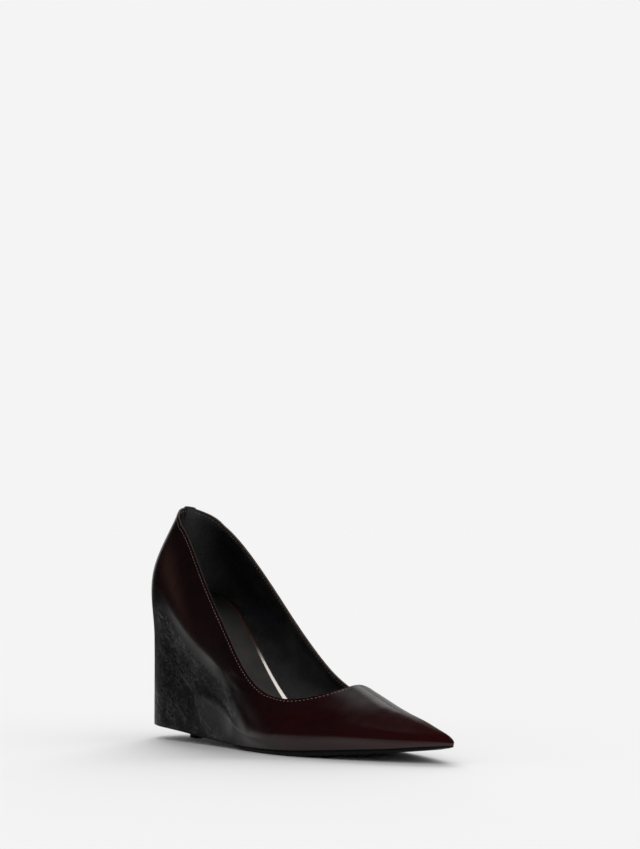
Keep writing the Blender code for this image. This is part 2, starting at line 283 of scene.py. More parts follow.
class Look:
    def __init__(self, owner, shader="Principled BSDF"):
        owner.use_nodes = True
        self.owner = owner
        self.tree = owner.node_tree
        self.shader = self.tree.nodes[shader]

    # Any node: its settings first, then a number, colour or wire for each socket, and one output as a wire.
    def add(self, kind, settings=None, sockets=None, output=0):
        node = self.tree.nodes.new("ShaderNode" + kind)
        for key, value in (settings or {}).items():
            setattr(node, key, value)
        self.fill(node, sockets or {})
        return Wire(self, node.outputs[output])

    def fill(self, node, sockets):
        for key, value in sockets.items():
            socket = node.inputs[key]
            if isinstance(value, Wire):
                self.tree.links.new(value.socket, socket)
            elif isinstance(value, (tuple, list)) and len(value) == 3 and len(socket.default_value) == 4:
                socket.default_value = (*value, 1.0)
            else:
                socket.default_value = value

    def finish(self, sockets):
        self.fill(self.shader, sockets)
        return self.owner

    def object(self):
        return self.add("TexCoord", output="Object")

    def attribute(self, name):
        return self.add("Attribute", {"attribute_name": name}, output="Fac")

    def parts(self, vector):
        node = self.add("SeparateXYZ", {}, {0: vector}).socket.node
        return [Wire(self, socket) for socket in node.outputs]

    def step(self, value, low, high):
        return self.add("MapRange", {"interpolation_type": "SMOOTHSTEP"}, {0: value, 1: low, 2: high})

    def blend(self, factor, first, second):
        return self.add("Mix", {"data_type": "RGBA"}, {0: factor, 6: first, 7: second}, output=2)

    def noise(self, vector, scale, detail, rough):
        sockets = {"Vector": vector, "Scale": scale, "Detail": detail, "Roughness": rough}
        return self.add("TexNoise", {}, sockets)

    def cells(self, vector, scale):
        return self.add("TexVoronoi", {}, {"Vector": vector, "Scale": scale})

    def turned(self, vector, turn, size):
        settings = {"vector_type": "TEXTURE"}
        return self.add("Mapping", settings, {"Vector": vector, "Rotation": turn, "Scale": size})

    def bump(self, height, distance, strength):
        return self.add("Bump", {}, {"Height": height, "Distance": distance, "Strength": strength})


# In every finish a noise is its scale, detail and roughness, steps are the two ends of a soft step, and a
# bump is its distance and strength.

# Burnished leather: burgundy on vamp and quarters, black and grained over the wedge
leather = {
    "vamp": (0.0225, 0.0032, 0.0037), "vampDeep": (0.0120, 0.0022, 0.0026),
    "toe": (0.0270, 0.0034, 0.0035),
    "quarter": (0.0105, 0.0028, 0.0037), "quarterDeep": (0.0055, 0.0020, 0.0026),
    # a warm reflection streak painted into the quarter's colour, and the least share of it
    "warm": (0.0270, 0.0112, 0.0080), "paintedReflectionLeast": 0.4,
    "black": (0.0024, 0.0021, 0.0023), "scuff": (0.0300, 0.0285, 0.0295),
    "seam": (0.0015, 0.0010, 0.0010), "seamMix": 0.8,
    "rough": 0.28, "roughGrain": 0.42, "roughSpread": 0.06, "spec": 0.03,
    "coat": 1.0, "coatBand": 0.40, "coatGrain": 0.03, "coatFleck": 0.62, "coatRough": 0.21,
    "cloud": (38.0, 3.0, 0.55), "mottle": (170.0, 4.0, 0.6), "toneMix": (0.65, 0.35),
    "toneSteps": (0.28, 0.72), "toeSteps": (0.050, 0.115), "vampSteps": (-0.015, 0.045),   # two along x
    # flecks, long creases and soft clouds over the wedge: size along, across and up, before the turn
    "turn": (0.0, math.radians(36), 0.0), "fleckSize": (0.0019, 0.0014, 0.0006),
    "creaseSize": (0.0240, 0.0120, 0.0034), "veilSize": (0.0200, 0.0200, 0.0080),
    "fleck": (1.0, 3.0, 0.65), "crease": (1.0, 2.0, 0.5), "veil": (1.0, 3.0, 0.6),
    "creaseSteps": (0.030, 0.0), "veilSteps": (0.40, 0.62), "veilSpread": 0.36, "fleckSteps": (0.47, 0.74),
    "creaseMix": 0.55,
    # the bump: pores all over, cells a metre and creases over the wedge, and how much each one counts
    "pores": (2600.0, 3.0, 0.6), "cells": 1150.0, "bump": (0.00022, 0.8),
    "poreHeight": 0.10, "cellHeight": 0.45, "creaseHeight": 0.6, "fleckHeight": 1.1, "seamDepth": 2.5,
}


def leatherLook():
    look = Look(bpy.data.materials.new("burnishedLeather"))
    spot = look.object()
    x = look.parts(spot)[0]
    wedge, grained, seam, warm, gloss = (look.attribute(name + "Share") for name in
                                         ("wedge", "grain", "seam", "warm", "gloss"))
    mottle = look.noise(spot, *leather["mottle"])
    tone = look.noise(spot, *leather["cloud"]) * leather["toneMix"][0] + mottle * leather["toneMix"][1]
    tone = look.step(tone, *leather["toneSteps"])
    vamp = look.blend(tone, leather["vampDeep"], leather["vamp"])
    vamp = look.blend(look.step(x, *leather["toeSteps"]), vamp, leather["toe"])
    quarter = look.blend(tone, leather["quarterDeep"], leather["quarter"])
    red = look.blend(look.step(x, *leather["vampSteps"]), quarter, vamp)
    # painted reflection: a warm streak blended into the colour by the wall's share of it
    red = look.blend(warm * (leather["paintedReflectionLeast"] + mottle), red, leather["warm"])
    fine, long, veil = (look.noise(look.turned(spot, leather["turn"], leather[name + "Size"]), *leather[name])
                        for name in ("fleck", "crease", "veil"))
    crease = look.step(abs(long - 0.5), *leather["creaseSteps"]) * look.step(veil, *leather["veilSteps"])
    fleck = look.step(fine + (veil - 0.5) * leather["veilSpread"], *leather["fleckSteps"])
    fleck = fleck + crease * leather["creaseMix"] * (1 - fleck)
    black = look.blend(fleck * grained, leather["black"], leather["scuff"])
    colour = look.blend(wedge, red, black)
    colour = look.blend(seam * leather["seamMix"], colour, leather["seam"])
    grain = look.cells(spot, leather["cells"]) * leather["cellHeight"]
    grain = grain + crease * leather["creaseHeight"] + fine * leather["fleckHeight"]
    pores = look.noise(spot, *leather["pores"]) * leather["poreHeight"]
    height = pores + grained * grain - seam * leather["seamDepth"]
    rough = leather["rough"] + (leather["roughGrain"] - leather["rough"]) * grained
    flecked = leather["coatGrain"] + leather["coatFleck"] * fleck
    plain = leather["coat"] + (leather["coatBand"] - leather["coat"]) * wedge
    return look.finish({
        "Base Color": colour, "Roughness": rough + (mottle - 0.5) * leather["roughSpread"],
        "Normal": look.bump(height, *leather["bump"]), "Specular IOR Level": leather["spec"],
        "Coat Weight": gloss * (plain + (flecked - plain) * grained), "Coat Roughness": leather["coatRough"],
    })


# The start of the other finishes: one noise over the piece, and two colours mixed by a soft step of it.
def startLook(finish):
    look = Look(bpy.data.materials.new(finish["name"]))
    spot = look.object()
    cloud = look.noise(spot, *finish["cloud"])
    mix = look.step(cloud, *finish["steps"]) if "steps" in finish else cloud
    return look, spot, cloud, look.blend(mix, *finish["colours"])


# A plain finish: its roughness spreads with that noise, and the bump's height is a weighted sum of cells,
# fibre and the noise itself.
def plainLook(finish):
    look, spot, cloud, colour = startLook(finish)
    # painted shade: where a finish lists one, its colour darkens towards the heel
    if "heel" in finish:
        colour = look.blend(look.step(look.parts(spot)[0], *finish["heelSteps"]), colour, finish["heel"])
    fields = {"cloud": cloud}
    if "cells" in finish:
        fields["cells"] = look.cells(spot, finish["cells"])
    if "fibre" in finish:
        fields["fibre"] = look.noise(spot, *finish["fibre"])
    heights = [fields[name] * share for name, share in finish["height"].items()]
    rough = finish["rough"]
    if "roughSpread" in finish:
        rough = rough + (cloud - 0.5) * finish["roughSpread"]
    normal = look.bump(sum(heights[1:], heights[0]), *finish["bump"])
    constants = finish.get("shader", {})
    return look.finish({"Base Color": colour, "Roughness": rough, "Normal": normal, **constants})


lining = {
    "name": "liningLeather", "colours": ((0.0105, 0.0108, 0.0138), (0.0220, 0.0224, 0.0238)),   # clean, dusty
    "cloud": (60.0, 4.0, 0.6), "steps": (0.42, 0.75), "rough": 0.36, "roughSpread": 0.12,
    "cells": 1300.0, "fibre": (2400.0, 3.0, 0.6), "height": {"cells": 0.9, "fibre": 0.5},
    "bump": (0.00034, 0.8), "shader": {"Specular IOR Level": 0.8},
}
rubber = {
    "name": "soleRubber", "colours": ((0.0040, 0.0043, 0.0050), (0.0105, 0.0108, 0.0115)),   # clean, dusty
    "cloud": (90.0, 4.0, 0.6), "steps": (0.5, 0.8), "rough": 0.46, "roughSpread": 0.15,
    "cells": 2200.0, "height": {"cells": 1.0}, "bump": (0.00010, 0.5), "shader": {"Specular IOR Level": 0.14},
}
core = {
    "name": "wedgeCore", "colours": ((0.010, 0.0095, 0.009), (0.024, 0.022, 0.020)),
    "cloud": (140.0, 5.0, 0.65), "steps": (0.4, 0.7), "rough": 0.62,
    "cells": 900.0, "height": {"cells": 1.0, "cloud": 1.0}, "bump": (0.0002, 0.5),
}
thread = {
    "name": "waxedThread", "colours": ((0.26, 0.17, 0.125), (0.46, 0.34, 0.27)),   # between plies, on a ply
    "cloud": (3200.0, 2.0, 0.5), "steps": (0.35, 0.65), "rough": 0.55,
    "height": {"cloud": 1.0}, "bump": (0.00006, 0.6),
}
sock = {
    "name": "sockLeather", "colours": ((0.043, 0.0415, 0.036), (0.064, 0.0610, 0.052)),   # plain, worn
    # painted shade: the sock is darker towards the heel, deep inside the shoe
    "heel": (0.0180, 0.0178, 0.0166), "heelSteps": (-0.052, -0.092),   # the steps along x
    "cloud": (45.0, 4.0, 0.6), "steps": (0.35, 0.7), "rough": 0.46, "roughSpread": 0.15,
    "cells": 1300.0, "fibre": (2200.0, 3.0, 0.6), "height": {"cells": 0.6, "fibre": 0.4},
    "bump": (0.00018, 0.6), "thick": 0.0008, "lift": 0.00005, "round": 0.0006,
    "rear": backRun + 0.004, "front": 0.150,
    # across the footbed, -1 to 1 from the outer wall: outer edge, inner edge, and the inner edge's waxed band
    "outer": -0.93,
    "edge": ((backRun, 0.70), (0.0, 0.72), (0.02, 0.62), (0.04, 0.47), (0.06, 0.33), (0.08, 0.24),
             (0.11, 0.22), (0.16, 0.40)),
    "band": ((backRun, 0.045), (0.03, 0.055), (0.06, 0.078), (0.09, 0.108), (0.16, 0.108)),
    "columns": 150, "bandRows": 7, "topRows": 40, "roundSteps": 9,
}
tab = {
    "name": "tabLeather", "colours": ((0.0048, 0.0040, 0.0041), (0.009, 0.0070, 0.0070)),
    "cloud": (300.0, 3.0, 0.6), "rough": 0.28, "roughSpread": 0.1,
    "cells": 1500.0, "height": {"cells": 1.0}, "bump": (0.00012, 0.5),
    "shader": {"Coat Weight": 0.3, "Coat Roughness": 0.15},
    "run": 0.0065, "shift": 0.0045, "outside": 0.22, "inside": 0.16, "thick": 0.0005, "proud": 0.00008,
    "rise": 0.00025, "riseFall": 0.8, "upStep": 0.02, "fold": 0.35,
    "softEdge": 0.00018, "softAngle": math.radians(50), "across": 26, "wallRows": 14, "foldRows": 13,
}

# The raw edge of the wall: brown, paler where the inner layer is cut, black along the hem
rawEdge = {
    "name": "rawLeatherEdge", "colours": ((0.030, 0.0065, 0.0055), (0.060, 0.020, 0.016)),   # brown, worn
    "cloud": (1400.0, 3.0, 0.65), "steps": (0.45, 0.75), "rough": 0.45, "bump": (0.00010, 0.6),
    "cut": (0.20, 0.130, 0.105), "cutLeast": 0.55, "cutSpread": 0.9,
}


def rawEdgeLook():
    look, _, fleck, colour = startLook(rawEdge)
    cut = look.attribute("innerShare") * (rawEdge["cutLeast"] + fleck * rawEdge["cutSpread"])
    colour = look.blend(cut, colour, rawEdge["cut"])
    colour = look.blend(look.attribute("hemShare"), colour, leather["black"])
    normal = look.bump(fleck, *rawEdge["bump"])
    return look.finish({"Base Color": colour, "Roughness": rawEdge["rough"], "Normal": normal})


# The sock's inner edge: waxed brown at the heel, polished bright from there to the front
waxedEdge = {
    "name": "waxedSockEdge", "colours": ((0.045, 0.0120, 0.0095), (0.105, 0.045, 0.034)),   # brown, worn
    "cloud": (900.0, 4.0, 0.65), "steps": (0.42, 0.7), "rough": 0.30, "roughSpread": 0.1,
    "bump": (0.00004, 0.4), "polish": (0.80, 0.74, 0.68), "polishSteps": (-0.054, -0.040),   # along x
    "polishRough": 0.20, "metal": 0.85, "coat": 0.4, "coatRough": 0.2,
}


def waxedEdgeLook():
    look, spot, fleck, colour = startLook(waxedEdge)
    shine = look.step(look.parts(spot)[0], *waxedEdge["polishSteps"])
    rough = waxedEdge["rough"] + (waxedEdge["polishRough"] - waxedEdge["rough"]) * shine
    return look.finish({
        "Base Color": look.blend(shine, colour, waxedEdge["polish"]), "Metallic": shine * waxedEdge["metal"],
        "Roughness": rough + (fleck - 0.5) * waxedEdge["roughSpread"],
        "Normal": look.bump(fleck, *waxedEdge["bump"]),
        "Coat Weight": waxedEdge["coat"], "Coat Roughness": waxedEdge["coatRough"],
    })


looks = {
    "leather": leatherLook(), "edge": rawEdgeLook(), "waxed": waxedEdgeLook(),
    "lining": plainLook(lining), "sock": plainLook(sock), "thread": plainLook(thread),
    "rubber": plainLook(rubber), "core": plainLook(core), "tab": plainLook(tab),
}
print("materials made:", len(looks))

# The upper: vamp, quarters and the skirt over the wedge, one wall with a thinned top edge
upper = {
    "throat": 0.1373, "corner": 0.1010, "throatPower": 0.87,
    "tipColumns": 18, "crestColumns": 56, "throatColumns": 48, "quarterColumns": 84, "rows": 72,
    "levelRise": 2.4, "levelShare": 0.6, "fanBow": 1.3,
    "topShare": 0.62, "topReach": 0.006, "hemShare": 0.02,
    # where the quarter turns in over the wedge: run and height of that line
    "turnLine": ((backRun, 0.0960), (-0.0200, 0.0950), (-0.0081, 0.0918), (-0.0021, 0.0885), (0.0106, 0.0774),
                 (0.0222, 0.0666), (0.0349, 0.0584), (0.0506, 0.0503), (0.0704, 0.0425), (0.0830, 0.0400)),
    "turnHeight": 0.00050, "turnAbove": 0.012, "turnBelow": 0.009, "turnSoft": 0.0012,
    # where the skirt over the wedge runs into the forepart, down to the sole
    "skirtLine": ((0.0200, 0.0310), (0.0390, 0.0287), (0.0560, 0.0243), (0.0680, 0.0182), (0.0780, 0.0132),
                  (0.0880, 0.0102), (0.0980, 0.0083), (0.1100, 0.0075)),
    "skirtHeight": 0.00125, "skirtAbove": 0.011, "skirtBlend": 0.06,
    "fillHeight": 0.0011, "fillBelow": 0.002, "fillReach": 0.022,
    "foldFrom": (0.0660, 0.0440), "foldTo": (0.0840, 0.0385), "foldDepth": 0.00030, "foldWidth": 0.0024,
    # where each of these forms comes in and goes out: along the run, and the fold in shares of its length
    "turnSpan": ((-0.010, 0.012), (0.066, 0.088)), "skirtSpan": ((0.024, 0.042), (0.086, 0.104)),
    "fillSpan": ((0.060, 0.078), (0.096, 0.118)), "foldSpan": ((-0.1, 0.45), (0.7, 1.15)),
    # faint waves: size, waves a metre along and up, phase
    "uneven": ((0.000016, 58.0, 21.0, 0.4), (0.000012, 91.0, -47.0, 1.9), (0.000009, 143.0, 66.0, 4.1)),
    "unevenFrom": (0.0, 0.02),
    # black over the wedge from the turn line down, its grain, and a smooth sheen just below the skirt's line
    "wedgeFrom": (-0.001, 0.006), "wedgeEnd": (0.066, 0.094), "grainFrom": 0.005, "grainTo": 0.011,
    "grainBack": 0.012, "grainBackEnd": (-0.020, 0.012),   # a longer fade round the heel's back
    "sheenBelow": 0.0090, "sheenWide": 0.0090, "sheenShare": 0.85, "sheenFrom": (0.025, 0.045),
    "seamWide": 0.00045,
    # the painted reflection, a warm streak painted into the quarter's colour: its middle, lean and half
    # width, and where it comes in over the turn line and goes out
    "paintedReflectionAt": (0.012, 0.085), "paintedReflectionLean": 0.62, "paintedReflectionWide": 0.007, "paintedReflectionFrom": (0.0, 0.012),
    "paintedReflectionEnd": (0.104, 0.124),
    # duller patches on the wall: run, height, reach along, reach up, share of the gloss taken
    "dull": ((0.0690, 0.0305, 0.0110, 0.0065, 0.75), (0.0640, 0.0440, 0.0120, 0.0060, 0.70),
             (0.0830, 0.0300, 0.0140, 0.0090, 0.90), (0.0300, 0.0580, 0.0200, 0.0140, 0.55),
             (0.0060, 0.0140, 0.0120, 0.0100, 0.75), (0.1940, 0.0205, 0.0130, 0.0060, 0.88)),
    # the duller middle of the vamp, between crest and band: run and height
    "vampLine": ((0.0950, 0.0205), (0.1331, 0.0215), (0.1526, 0.0240), (0.1668, 0.0225), (0.1780, 0.0200),
                 (0.1888, 0.0195), (0.2000, 0.0185)),
    "vampRise": 0.0045, "vampShare": 0.80,
    # the upper edge of the floor's reflection along the sole, where the gloss fades: run and height
    "bandTop": ((0.0950, 0.0110), (0.1103, 0.0121), (0.1331, 0.0125), (0.1511, 0.0134), (0.1668, 0.0136),
                (0.1821, 0.0132), (0.1959, 0.0134), (0.2052, 0.0136)),
    "bandRise": 0.0023, "bandShare": 0.75, "bandFrom": (0.095, 0.110),
    "roundSteps": 160, "roundReach": 0.0055, "roundFine": 0.00025, "roundFrom": (0.095, 0.120),
}
turnLine, skirtLine, bandTop, vampLine = (through(upper[name]) for name in
                                          ("turnLine", "skirtLine", "bandTop", "vampLine"))
openingFrom = upper["tipColumns"] + upper["crestColumns"] - 2   # the first column that ends at the opening


# Columns fan from the hem up to the crest, the throat's curve and the topline:
# the run of each column at the hem, and its run and rise at the top.
def upperColumns():
    tip = np.linspace(tipRun, toeStart, upper["tipColumns"])[:-1]
    crest = toeStart + (upper["throat"] - toeStart) * np.linspace(0, 1, upper["crestColumns"])
    turn = np.linspace(0, math.pi / 2, upper["throatColumns"] + 1)[1:]
    throatRun = upper["corner"] + (upper["throat"] - upper["corner"]) * np.cos(turn) ** upper["throatPower"]
    throatRise = 4 - np.sin(turn) ** upper["throatPower"]
    quarter = np.linspace(upper["corner"], backRun, upper["quarterColumns"] + 1)[1:]
    front = np.concatenate([tip, crest])
    rear = np.linspace(upper["throat"], backRun, upper["throatColumns"] + upper["quarterColumns"] + 1)[1:]
    hemRun = np.concatenate([front, rear])
    topRun = np.concatenate([front, throatRun, quarter])
    topRise = np.concatenate([np.full(len(front), 4.0), throatRise, np.full(len(quarter), 3.0)])
    return hemRun, topRun, topRise


# A share of the way up a column: the run goes over by a power of it, and the rise is the same for all columns
# up to one level, then spreads evenly to each column's own top.
def onColumn(hemRun, topRun, topRise, share):
    run = hemRun + (topRun - hemRun) * share ** upper["fanBow"]
    level = np.minimum(share / upper["levelShare"], 1) * upper["levelRise"]
    spread = np.clip((share - upper["levelShare"]) / (1 - upper["levelShare"]), 0, 1)
    return run, level + (topRise - upper["levelRise"]) * spread


# The wall's share of its full thickness, rising smoothly with the way from the opening.
def wallShare(away):
    return upper["topShare"] + (1 - upper["topShare"]) * smooth(away, 0.0, upper["topReach"])


# A ridge along the turn line: it falls off above and below by its own reach, with a rounded top.
def turnRidge(below):
    reach = np.where(below > 0, upper["turnBelow"], upper["turnAbove"])
    soft = upper["turnSoft"]
    away = np.sqrt(below**2 + soft**2) - soft
    return upper["turnHeight"] * np.exp(-away / reach)


# The skirt's ridge: a straight rise from the hem up to its line, an exponential fall above it, and the lower
# of the two, blended by a soft minimum.
def skirtRidge(run, height):
    line = skirtLine(run)
    hem = form["hemZ"](run)
    rise = np.clip((height - hem) / np.maximum(line - hem, 1e-4), 0, 2)
    fall = np.exp(-np.maximum(height - line, 0) / upper["skirtAbove"])
    blend = upper["skirtBlend"]
    lower = -blend * np.log(np.exp(-rise / blend) + np.exp(-fall / blend))
    return upper["skirtHeight"] * np.maximum(lower, 0)


# Soft forms on the wall, outwards in metres: a ridge where the quarter turns in over the wedge, a lower one
# where the skirt runs into the forepart, a fuller waist above that, one soft trough where the first ends, and
# faint sine waves of hand-pulled leather.
def relief(run, height):
    turn = turnRidge(turnLine(run) - height) * between(run, upper["turnSpan"])
    skirt = skirtRidge(run, height) * between(run, upper["skirtSpan"])
    low = skirtLine(run)
    full = between(height, ((form["hemZ"](run), low), (low - upper["fillBelow"], low + upper["fillReach"])))
    fill = upper["fillHeight"] * full * between(run, upper["fillSpan"])
    start = np.array(upper["foldFrom"])
    line = np.array(upper["foldTo"]) - start
    spot = np.stack([run, height], -1) - start
    along = (spot @ line) / (line @ line)
    across = (spot[..., 0] * line[1] - spot[..., 1] * line[0]) / np.linalg.norm(line)
    fold = upper["foldDepth"] * bell(across / upper["foldWidth"]) * between(along, upper["foldSpan"])
    waves = [size * np.sin(2 * math.pi * (run * a + height * b) + c) for size, a, b, c in upper["uneven"]]
    return turn + skirt + fill - fold + sum(waves) * smooth(run, *upper["unevenFrom"])


# How much of the gloss is left at a spot on the wall: each dull patch takes its share, as a bell both ways,
# and the middle of the vamp and the edge of the band along the sole take theirs, as bells across a line.
def glossLeft(run, height):
    left = np.ones_like(run)
    for along, level, reach, rise, share in upper["dull"]:
        left = left * (1 - share * bell((run - along) / reach) * bell((height - level) / rise))
    front = smooth(run, *upper["bandFrom"])
    for name, line in (("band", bandTop), ("vamp", vampLine)):
        left = left * (1 - upper[name + "Share"] * bell((height - line(run)) / upper[name + "Rise"]) * front)
    return left


# Rounds the wall at the edge of that band: each row goes part of the way to the mean of its two neighbours,
# many times over, in the share of a bell across the line, and by less where the rows lie further apart.
def rounded(points, run):
    across = (points[..., 2] - bandTop(run)) / upper["roundReach"]
    spacing = np.linalg.norm(points[:, 2:] - points[:, :-2], axis=-1, keepdims=True) / 2
    pace = 0.5 * np.minimum(1, (upper["roundFine"] / np.maximum(spacing, 1e-6)) ** 2)
    share = pace * (bell(across) * smooth(run, *upper["roundFrom"]))[:, 1:-1, None]
    for step in range(upper["roundSteps"]):
        mean = (points[:, 2:] + points[:, :-2]) / 2
        points[:, 1:-1] += (mean - points[:, 1:-1]) * share
    return points


# Both walls as one grid each: a spot on the last, moved out along its normal by the relief. The shares that
# the leather reads are smooth steps and bells of run and height.
def makeUpper():
    hemRun, topRun, topRise = upperColumns()
    columns = len(hemRun)
    share = np.linspace(0, 1, upper["rows"])
    run, rise = onColumn(hemRun[:, None], topRun[:, None], topRise[:, None], share)
    atOpening = (np.arange(columns) >= openingFrom)[:, None]
    behind = 1 - smooth(run, *upper["wedgeEnd"])
    grainEnd = upper["grainTo"] + upper["grainBack"] * (1 - smooth(run, *upper["grainBackEnd"]))
    reflectionRun, reflectionHeight = upper["paintedReflectionAt"]
    points = []
    marks = []
    for side in (-1, 1):
        point, normal = faceAndNormal(run, rise, side)
        height = point[..., 2]
        points.append(rounded(point + normal * relief(run, height)[..., None], run))
        below = turnLine(run) - height
        sheen = bell((height - skirtLine(run) + upper["sheenBelow"]) / upper["sheenWide"])
        sheen = upper["sheenShare"] * sheen * smooth(run, *upper["sheenFrom"])
        # the painted reflection streak, leaning across the quarter
        warm = bell((run - reflectionRun + (height - reflectionHeight) * upper["paintedReflectionLean"]) / upper["paintedReflectionWide"])
        warm = warm * smooth(-below, *upper["paintedReflectionFrom"]) * (1 - smooth(height, *upper["paintedReflectionEnd"]))
        away = np.linalg.norm(point - point[:, -1:, :], axis=-1)
        marks.append({
            "wedgeShare": smooth(below, *upper["wedgeFrom"]) * behind,
            "grainShare": smooth(below, upper["grainFrom"], grainEnd) * behind * (1 - sheen),
            "seamShare": bell((run - backRun) / upper["seamWide"]),
            "warmShare": warm,
            "wallShare": np.where(atOpening, wallShare(away), 1.0),
            "hemShare": np.broadcast_to(share < upper["hemShare"], run.shape).astype(float),
            "glossShare": glossLeft(run, height),
        })
    attributes = {name: np.concatenate([mark[name].ravel() for mark in marks]) for name in marks[0]}
    quads = gridQuads(columns, upper["rows"])
    faces = np.concatenate([quads[:, ::-1], quads + columns * upper["rows"]])
    materials = [looks["leather"], looks["lining"], looks["edge"]]
    piece = makePiece("upper_leather", points, faces, materials, None, attributes)
    weights = np.empty(len(piece.data.vertices), np.float32)
    piece.data.attributes["wallShare"].data.foreach_get("value", weights)
    group = piece.vertex_groups.new(name="wall")
    for level in np.unique(np.round(weights, 2)):
        members = np.nonzero(np.round(weights, 2) == level)[0]
        group.add(members.tolist(), float(level), "REPLACE")
    wall = thicken(piece, last["wall"])
    wall.vertex_group = "wall"
    wall.use_even_offset = False
    wall.material_offset = 1
    wall.material_offset_rim = 2
    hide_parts("upper")


makeUpper()


# The topline as a closed path on the wall: outer side from the throat to the back, then the inner side home.
# Each point lies the inset's way from the opening and the depth's way in, and comes with its normal.
def toplinePath(inset, depth):
    topRun, topRise = (values[openingFrom:] for values in upperColumns()[1:])
    halves = []
    for side in (-1, 1):
        top, normal = faceAndNormal(topRun, topRise, side)
        away = unit(np.cross(normal, np.gradient(top, axis=0)))
        away *= -np.sign(away[:, 2].sum())
        # the step in run and rise that goes the inset's way on the wall, by least squares
        perRun = (skin(topRun + last["fineStep"], topRise, side) - top) / last["fineStep"]
        perRise = (top - skin(topRun, topRise - last["riseStep"], side)) / last["riseStep"]
        grid = np.stack([perRun, perRise], -1)
        square = np.einsum("nik,nil->nkl", grid, grid)
        step = np.linalg.solve(square, np.einsum("nik,ni->nk", grid, away * inset)[..., None])[..., 0]
        run, rise = topRun + step[:, 0], np.minimum(topRise + step[:, 1], 4)
        point, normal = faceAndNormal(run, rise, side)
        point = point + normal * (relief(run, point[..., 2]) - depth)[..., None]
        halves.append(np.stack([point, normal]))
    return np.concatenate([halves[0], halves[1][:, -2:0:-1]], axis=1)


# The same closed path, stepped evenly by its length: at each point the outward normal, the path's own
# direction, and up, which is square to both.
def evenPath(points, normal, count):
    ring = np.concatenate([points, points[:1]])
    ringNormal = np.concatenate([normal, normal[:1]])
    length = np.concatenate([[0], np.cumsum(np.linalg.norm(np.diff(ring, axis=0), axis=-1))])
    at = np.linspace(0, length[-1], count, endpoint=False)
    points = np.stack([np.interp(at, length, ring[:, k]) for k in range(3)], -1)
    normal = np.stack([np.interp(at, length, ringNormal[:, k]) for k in range(3)], -1)
    along = unit(np.roll(points, -1, axis=0) - np.roll(points, 1, axis=0))
    normal = unit(normal - (normal * along).sum(-1, keepdims=True) * along)
    up = np.cross(normal, along)
    up *= np.sign(up[:, 2].sum())
    return points, normal, along, up, length[-1]


bead = {"half": 0.00050, "rise": 0.00017, "depth": 0.00050, "cutReach": 0.55, "around": 12, "steps": 900}


# A flattened bead carried along the topline: an ellipse across the wall's top edge.
def makeBead():
    points, normal = toplinePath(0.0, bead["depth"])
    points, normal, along, up, length = evenPath(points, normal, bead["steps"])
    angle = np.linspace(0, 2 * math.pi, bead["around"], endpoint=False)
    across = normal[:, None] * (bead["half"] * np.cos(angle))[:, None]
    ring = points[:, None] + across + up[:, None] * (bead["rise"] * np.sin(angle))[:, None]
    faces = gridQuads(bead["steps"], bead["around"], True, True)
    cut = {"innerShare": np.tile(smooth(-np.cos(angle), 0.0, bead["cutReach"]), bead["steps"])}
    piece = makePiece("topline_edge", ring, faces, [looks["edge"]], None, cut)
    outward = np.einsum("ij,ij->i", np.cross(along, normal), up).mean()
    if outward > 0:
        piece.data.flip_normals()
    print("topline length", round(length, 4))


makeBead()

stitch = {
    "pitch": 0.0023, "long": 0.00120, "thick": 0.00015, "inset": 0.0016, "lift": 0.00003, "slant": 0.16,
    "lengthSteps": 5, "around": 6, "insideInset": 0.0017, "insideDepth": 0.76,   # the last in walls
    "tip": 0.04, "fullness": 0.6, "measure": 400,
}


# One stitch is a lozenge round its own axis: its radius is a power of the sine of the way along. All are
# placed as one array.
def makeStitches(name, inset, depth):
    points, normal = toplinePath(inset, depth)
    count = int(evenPath(points, normal, stitch["measure"])[4] / stitch["pitch"])
    points, normal, along, up = evenPath(points, normal, count)[:4]
    slanted = along * math.cos(stitch["slant"]) + up * math.sin(stitch["slant"])
    across = np.cross(normal, slanted)
    way = np.linspace(stitch["tip"], math.pi - stitch["tip"], stitch["lengthSteps"])
    angle = np.linspace(0, 2 * math.pi, stitch["around"], endpoint=False)
    axial = -np.cos(way) * stitch["long"] / 2
    radius = np.sin(way) ** stitch["fullness"] * stitch["thick"]
    ring = points[:, None, None] + slanted[:, None, None] * axial[:, None, None]
    ring = ring + normal[:, None, None] * (radius[:, None] * np.cos(angle))[..., None]
    ring = ring + across[:, None, None] * (radius[:, None] * np.sin(angle))[..., None]
    each = stitch["lengthSteps"] * stitch["around"]
    quads = gridQuads(stitch["lengthSteps"], stitch["around"], False, True)
    first = np.arange(stitch["around"])
    final = first + each - stitch["around"]
    faces = []
    for k in range(count):
        faces += (quads + k * each).tolist()
        faces += [(first[::-1] + k * each).tolist(), (final + k * each).tolist()]
    makePiece(name, ring, faces, [looks["thread"]], merge=1e-8)


makeStitches("stitches_outside", stitch["inset"], -stitch["lift"])
makeStitches("stitches_inside", stitch["insideInset"], last["wall"] * stitch["insideDepth"] + stitch["lift"])

# The arch lining rises from under the sock's inner edge on an even slope, then rounds up into the inner wall
arch = {
    "rear": sock["rear"], "front": sock["front"], "columns": 150, "across": 36,
    "lift": 0.0002, "thick": 0.0005,
    "tuckedRows": ((0.0010, 0.00010), (0.0025, 0.00030)),   # rise past the edge, and how far into the wall
    "under": 0.02, "rampMost": 0.8, "power": 5,
    "slope": ((backRun, 0.0), (0.0, 0.10), (0.03, 0.28), (0.06, 0.33), (0.09, 0.33), (0.12, 0.18),
              (0.15, 0.03), (tipRun, 0.0)),
    "height": ((backRun, 0.0), (0.0, 0.0040), (0.03, 0.0140), (0.06, 0.0205), (0.09, 0.0165), (0.12, 0.0085),
               (0.15, 0.0020), (tipRun, 0.0)),
}
sockEdge, sockBand = through(sock["edge"]), through(sock["band"])
archSlope, archHeight = through(arch["slope"]), through(arch["height"])


